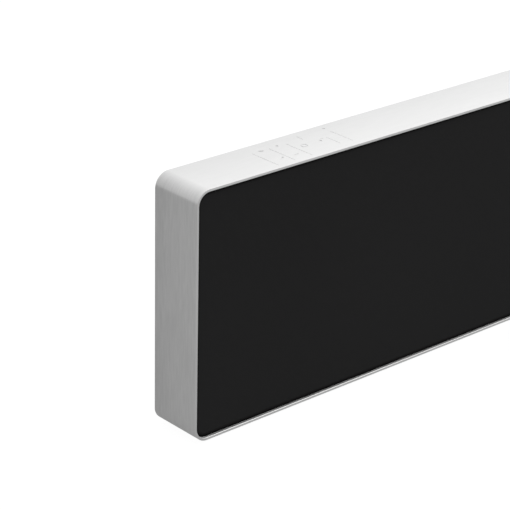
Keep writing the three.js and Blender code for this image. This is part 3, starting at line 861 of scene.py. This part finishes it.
def build_power_inlet():
    """An oval mains inlet in black plastic, with two bare metal pins."""
    low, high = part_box("power_inlet")
    middle = (low + high) / 2
    sizes = {"radius": 5.9, "wall": 1.5, "floor": 1.7, "soft": 0.3}
    shell = socket_cup("power_inlet_shell", "power_inlet", **sizes)
    new_piece("power_inlet_shell", shell, "cabinet", "tray_plastic", ("power_inlet",))
    section = [(0.05, 0), (1.1, 0), (1.1, 5.4), (0.8, 5.9), (0.05, 6.1)]
    pin = turned("power_pin", section, closed=False, steps=32)
    for index, offset in enumerate((-PIN_OFFSET, PIN_OFFSET)):
        place = (middle.x + offset, low.y + PIN_ROOT, middle.z)
        new_piece(f"power_pin_{index + 1}", pin, "cabinet", "socket_shell", (), place)


TONGUE_HALF = Vector((5.75 * MM, 0, 0.6 * MM))
TONGUE_CORNER = 0.3 * MM
TONGUE_SOFT = 0.2 * MM
TONGUE_ROOT = 1.0 * MM
TONGUE_INSET = 0.4 * MM


def build_video_socket():
    """A folded metal shell with a black plastic tongue in the middle of its mouth."""
    low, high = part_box("video_socket")
    middle = (low + high) / 2
    sizes = {"radius": 0.9, "wall": 0.7, "floor": 1.2, "soft": 0.12}
    shell = socket_cup("video_socket_shell", "video_socket", **sizes)
    new_piece("video_socket_shell", shell, "cabinet", "socket_shell", ("video_socket",))
    reach, end = TONGUE_CORNER, high.y - TONGUE_INSET
    stations = corner_stations(middle - TONGUE_HALF, middle + TONGUE_HALF, reach, 4)
    section = [(reach, low.y + TONGUE_ROOT), (reach, end - TONGUE_SOFT)]
    section.append((reach - TONGUE_SOFT, end))
    tongue = mesh_from(sweep(bmesh.new(), stations, section, closed=False), "video_socket_tongue")
    new_piece("video_socket_tongue", tongue, "cabinet", "black_plastic")


def build_setup_button():
    """A small round button with a shallow dish in its face."""
    low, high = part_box("setup_button")
    radius, length = (high.x - low.x) / 2 / MM, (high.y - low.y) / MM
    section = [(0.05, -0.3), (radius * 0.45, -0.22), (radius - 0.5, 0), (radius - 0.2, -0.06)]
    section += [(radius, -0.3), (radius, -length), (0.05, -length)]
    mesh = turned("setup_button_fine", section, closed=False, steps=64, angle=50)
    place = ((low.x + high.x) / 2, high.y, (low.z + high.z) / 2)
    new_piece(
        "setup_button_fine", mesh, "setup_button_body", "button_plastic", ("setup_button",), place
    )


FOOT_CORNER = 6 * MM
FOOT_SOFT = 0.5 * MM


def build_feet():
    """Thin rubber pads with a soft lower edge."""
    for side in ("left", "right"):
        node = f"foot_{side}"
        low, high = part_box(node)
        height = high.z - low.z
        radius, soft = FOOT_CORNER, FOOT_SOFT
        section = [(radius - soft, height), (radius, height), (radius, soft)]
        section += [(radius - 0.15 * MM, 0.18 * MM), (radius - soft, 0)]
        flat_low, flat_high = Vector((low.x, 0, low.y)), Vector((high.x, 0, high.y))
        stations = corner_stations(flat_low, flat_high, radius, 12)
        bm = sweep(bmesh.new(), stations, section, closed=False)
        for vert in bm.verts:
            vert.co = Vector((vert.co.x, vert.co.z, low.z + vert.co.y))
        mesh = mesh_from(bm, f"{node}_pad")
        new_piece(f"{node}_pad", mesh, "cabinet", "foot_rubber", (node,))


# ---------------------------------------------------------------------------- stage

FLOOR_TONE = 0.10
FLOOR_GLOW = 0.95
FLOOR_BOUNCE_FRONT = 0.37
FLOOR_BOUNCE_BACK = 0.31
FLOOR_BOUNCE_ZONE = (-0.10, 0.0)
FLOOR_HALF = 12.0
FLOOR_Z = -0.2 * MM
SKY_LEFT = 0.58
SKY_RIGHT = 1.10
SKY_LEAN = (1.0, 0.0, 0.25)
SKY_SPREAD = (-0.75, 0.8)
SOFTBOX_SIZE = (1.6, 1.1)
SOFTBOX_WATTS = 5
SOFTBOX_PLACE = Vector((0.8, -0.8, 1.7))
SOFTBOX_AIM = Vector((-0.2, 0, 0.08))


def build_floor():
    """A pale floor. For the camera it is an even white; what it throws on the object is softer,
    and stronger in front of the object than behind it. From below it can't be seen."""
    mesh = bpy.data.meshes.new("floor")
    half, z = FLOOR_HALF, FLOOR_Z
    corners = [(-half, -half, z), (half, -half, z), (half, half, z), (-half, half, z)]
    mesh.from_pydata(corners, [], [(0, 1, 2, 3)])
    floor = bpy.data.objects.new("floor", mesh)
    bpy.context.scene.collection.objects.link(floor)
    look = Look("pale_floor", (FLOOR_TONE, FLOOR_TONE, FLOOR_TONE), 0.9)
    look.fix("Specular IOR Level", 0.0)
    levels = (FLOOR_BOUNCE_FRONT, FLOOR_BOUNCE_BACK)
    bounce = look.spread(look.axis("Y"), *levels, *FLOOR_BOUNCE_ZONE)
    path = look.node("ShaderNodeLightPath")
    inputs = {"Value": path.outputs["Is Camera Ray"], "To Min": bounce, "To Max": FLOOR_GLOW}
    glow = look.node("ShaderNodeMapRange", inputs).outputs["Result"]
    look.fix("Emission Color", (1, 1, 1, 1))
    look.set("Emission Strength", glow)
    below = look.node("ShaderNodeNewGeometry").outputs["Backfacing"]
    clear = look.node("ShaderNodeBsdfTransparent").outputs[0]
    mixed = look.node("ShaderNodeMixShader", {0: below, 1: look.bsdf.outputs[0], 2: clear})
    look.tree.links.new(mixed.outputs[0], look.tree.nodes["Material Output"].inputs["Surface"])
    mesh.materials.append(look.material)


def build_world():
    """White for the camera; for the object, a soft sky that dims towards the left and the
    ground."""
    world = bpy.data.worlds.new("studio")
    bpy.context.scene.world = world
    world.use_nodes = True
    tree = world.node_tree
    background = tree.nodes["Background"]
    place = tree.nodes.new("ShaderNodeTexCoord")
    lean = tree.nodes.new("ShaderNodeVectorMath")
    lean.operation = "DOT_PRODUCT"
    lean.inputs[1].default_value = SKY_LEAN
    tree.links.new(place.outputs["Generated"], lean.inputs[0])
    sky = tree.nodes.new("ShaderNodeMapRange")
    sky.inputs["From Min"].default_value = SKY_SPREAD[0]
    sky.inputs["From Max"].default_value = SKY_SPREAD[1]
    sky.inputs["To Min"].default_value = SKY_LEFT
    sky.inputs["To Max"].default_value = SKY_RIGHT
    tree.links.new(lean.outputs["Value"], sky.inputs["Value"])
    path = tree.nodes.new("ShaderNodeLightPath")
    choose = tree.nodes.new("ShaderNodeMix")
    tree.links.new(path.outputs["Is Camera Ray"], choose.inputs[0])
    tree.links.new(sky.outputs["Result"], choose.inputs[2])
    choose.inputs[3].default_value = 1.0
    tree.links.new(choose.outputs[0], background.inputs["Strength"])
    background.inputs["Color"].default_value = (1, 1, 1, 1)


def build_softbox():
    """One large soft light above the object, in front of it and to its right."""
    light = bpy.data.lights.new("softbox", "AREA")
    light.shape = "RECTANGLE"
    light.size, light.size_y = SOFTBOX_SIZE
    light.energy = SOFTBOX_WATTS
    softbox = bpy.data.objects.new("softbox", light)
    bpy.context.scene.collection.objects.link(softbox)
    softbox.location = SOFTBOX_PLACE
    aim = SOFTBOX_AIM - SOFTBOX_PLACE
    softbox.rotation_euler = aim.to_track_quat("-Z", "Y").to_euler()


CAMERA_YAW = math.radians(41.757)
CAMERA_PITCH = math.radians(23.677)
CAMERA_ROLL = math.radians(1.256)
CAMERA_LENS = 151.46
CAMERA_FROM_CORNER = Vector((-0.7611, -0.90524, 0.64896))


def build_camera():
    """A long lens, to the front left of the bar and above it, looking at its left end."""
    data = bpy.data.cameras.new("camera")
    data.lens = CAMERA_LENS
    data.sensor_width = 36.0
    camera = bpy.data.objects.new("camera", data)
    bpy.context.scene.collection.objects.link(camera)
    yaw, pitch, roll = CAMERA_YAW, CAMERA_PITCH, CAMERA_ROLL
    level = Vector((math.cos(yaw), -math.sin(yaw), 0))
    ahead = Vector((math.sin(yaw), math.cos(yaw), 0))
    forward = ahead * math.cos(pitch) - Vector((0, 0, math.sin(pitch)))
    upright = level.cross(forward)
    right = level * math.cos(roll) + upright * math.sin(roll)
    up = upright * math.cos(roll) - level * math.sin(roll)
    place = Matrix((right, up, -forward)).transposed().to_4x4()
    place.translation = BAND_LOW + CAMERA_FROM_CORNER
    camera.matrix_world = place
    bpy.context.scene.camera = camera


dress_cad_nodes()
build_band()
build_cloth()
build_drivers("woofer", WOOFER, 4)
build_drivers("mid", MID, 2)
build_tweeter()
build_small_magnets()
build_rear_screws()
build_power_inlet()
build_video_socket()
build_setup_button()
build_feet()
build_floor()
build_world()
build_softbox()
build_camera()
bpy.context.scene.view_settings.view_transform = "Standard"
